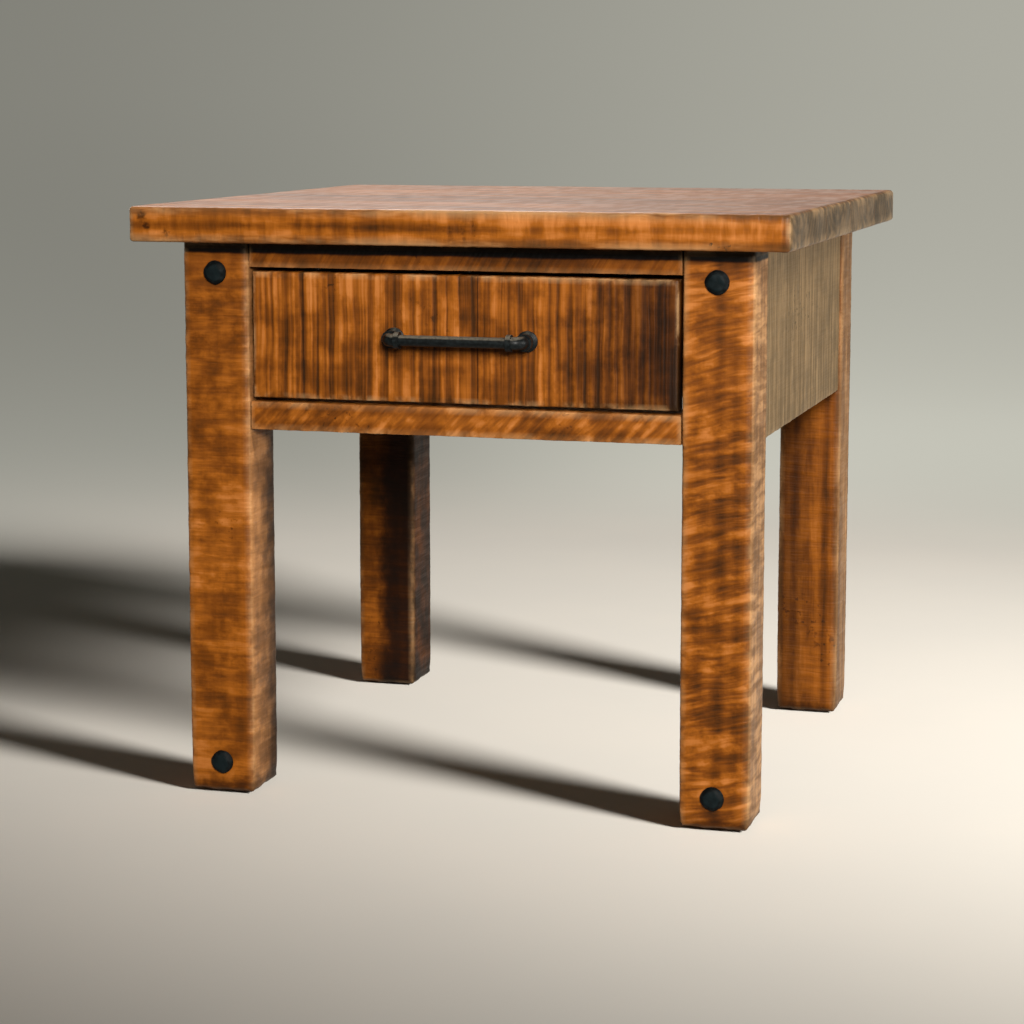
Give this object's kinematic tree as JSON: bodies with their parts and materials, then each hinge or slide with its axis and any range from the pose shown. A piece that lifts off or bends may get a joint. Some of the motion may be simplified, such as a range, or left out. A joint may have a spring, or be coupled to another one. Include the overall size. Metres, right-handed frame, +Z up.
{
  "type": "side table with drawer",
  "caption": "Square rustic wooden side table on square legs, with an inset drawer on ball-bearing slides, a pipe-style iron bar pull and domed studs on the front legs.",
  "frame": {"origin": "on the floor, under the middle of the top", "axes": "+Z up, the drawer's front faces -Y, +X to the right of someone facing the drawer"},
  "size_m": [0.674, 0.674, 0.61],
  "materials": {
    "top_wood": "satin",
    "leg_wood": "satin",
    "apron_wood": "satin",
    "drawer_front_wood": "satin",
    "drawer_box_wood": "matte",
    "inner_wood": "matte",
    "panel_wood": "matte",
    "black_iron": "satin",
    "slide_steel": "satin",
    "ball_steel": "gloss",
    "screw_steel": "satin"
  },
  "bodies": {
    "table_frame": {"back_apron": "apron_wood", "block_screws": "screw_steel", "cleat_screws": "screw_steel", "corner_block_left": "inner_wood", "corner_block_right": "inner_wood", "corner_bolts": "screw_steel", "front_lower_rail": "apron_wood", "front_rail_screws": "screw_steel", "front_upper_rail": "apron_wood", "leg_back_left": "leg_wood", "leg_back_right": "leg_wood", "leg_front_left": "leg_wood", "leg_front_right": "leg_wood", "side_apron_left": "apron_wood", "side_apron_right": "apron_wood", "slide_block_left": "inner_wood", "slide_block_right": "inner_wood", "slide_frame_screws": "screw_steel", "slide_outer_member_left": "slide_steel", "slide_outer_member_right": "slide_steel", "stud_lower_left": "black_iron", "stud_lower_right": "black_iron", "stud_upper_left": "black_iron", "stud_upper_right": "black_iron", "top_board_1": "top_wood", "top_board_2": "top_wood", "top_board_3": "top_wood", "top_board_4": "top_wood", "top_cleat_left": "inner_wood", "top_cleat_right": "inner_wood"},
    "drawer": {"drawer_front": "drawer_front_wood", "drawer_box_front": "drawer_box_wood", "drawer_box_back": "drawer_box_wood", "drawer_side_left": "drawer_box_wood", "drawer_side_right": "drawer_box_wood", "drawer_bottom": "panel_wood", "drawer_front_screws": "screw_steel", "pull_screws": "screw_steel", "pull_bar": "black_iron", "slide_drawer_screws": "screw_steel", "pull_elbow_left": "black_iron", "pull_post_left": "black_iron", "pull_flange_left": "black_iron", "slide_inner_member_left": "slide_steel", "pull_elbow_right": "black_iron", "pull_post_right": "black_iron", "pull_flange_right": "black_iron", "slide_inner_member_right": "slide_steel"},
    "slide_middle_left": {"slide_middle_member_left": "slide_steel"},
    "outer_cage_left": {"slide_outer_cage_left": "slide_steel", "slide_outer_balls_left": "ball_steel"},
    "inner_cage_left": {"slide_inner_cage_left": "slide_steel", "slide_inner_balls_left": "ball_steel"},
    "slide_middle_right": {"slide_middle_member_right": "slide_steel"},
    "outer_cage_right": {"slide_outer_cage_right": "slide_steel", "slide_outer_balls_right": "ball_steel"},
    "inner_cage_right": {"slide_inner_cage_right": "slide_steel", "slide_inner_balls_right": "ball_steel"}
  },
  "joints": [
    {"name": "drawer_slide", "type": "slide", "parent": "table_frame", "child": "drawer", "axis": [0, -1, 0], "range_m": [0, 0.457]},
    {"name": "slide_middle_left_slide", "type": "slide", "parent": "table_frame", "child": "slide_middle_left", "axis": [0, -1, 0], "range_m": [0, 0.229]},
    {"name": "outer_cage_left_slide", "type": "slide", "parent": "table_frame", "child": "outer_cage_left", "axis": [0, -1, 0], "range_m": [0, 0.1145]},
    {"name": "inner_cage_left_slide", "type": "slide", "parent": "table_frame", "child": "inner_cage_left", "axis": [0, -1, 0], "range_m": [0, 0.343]},
    {"name": "slide_middle_right_slide", "type": "slide", "parent": "table_frame", "child": "slide_middle_right", "axis": [0, -1, 0], "range_m": [0, 0.229]},
    {"name": "outer_cage_right_slide", "type": "slide", "parent": "table_frame", "child": "outer_cage_right", "axis": [0, -1, 0], "range_m": [0, 0.1145]},
    {"name": "inner_cage_right_slide", "type": "slide", "parent": "table_frame", "child": "inner_cage_right", "axis": [0, -1, 0], "range_m": [0, 0.343]}
  ],
  "couplings": [
    {"joint": "slide_middle_left_slide", "follows": "drawer_slide", "ratio": 0.5},
    {"joint": "outer_cage_left_slide", "follows": "drawer_slide", "ratio": 0.25},
    {"joint": "inner_cage_left_slide", "follows": "drawer_slide", "ratio": 0.75},
    {"joint": "slide_middle_right_slide", "follows": "drawer_slide", "ratio": 0.5},
    {"joint": "outer_cage_right_slide", "follows": "drawer_slide", "ratio": 0.25},
    {"joint": "inner_cage_right_slide", "follows": "drawer_slide", "ratio": 0.75}
  ]
}
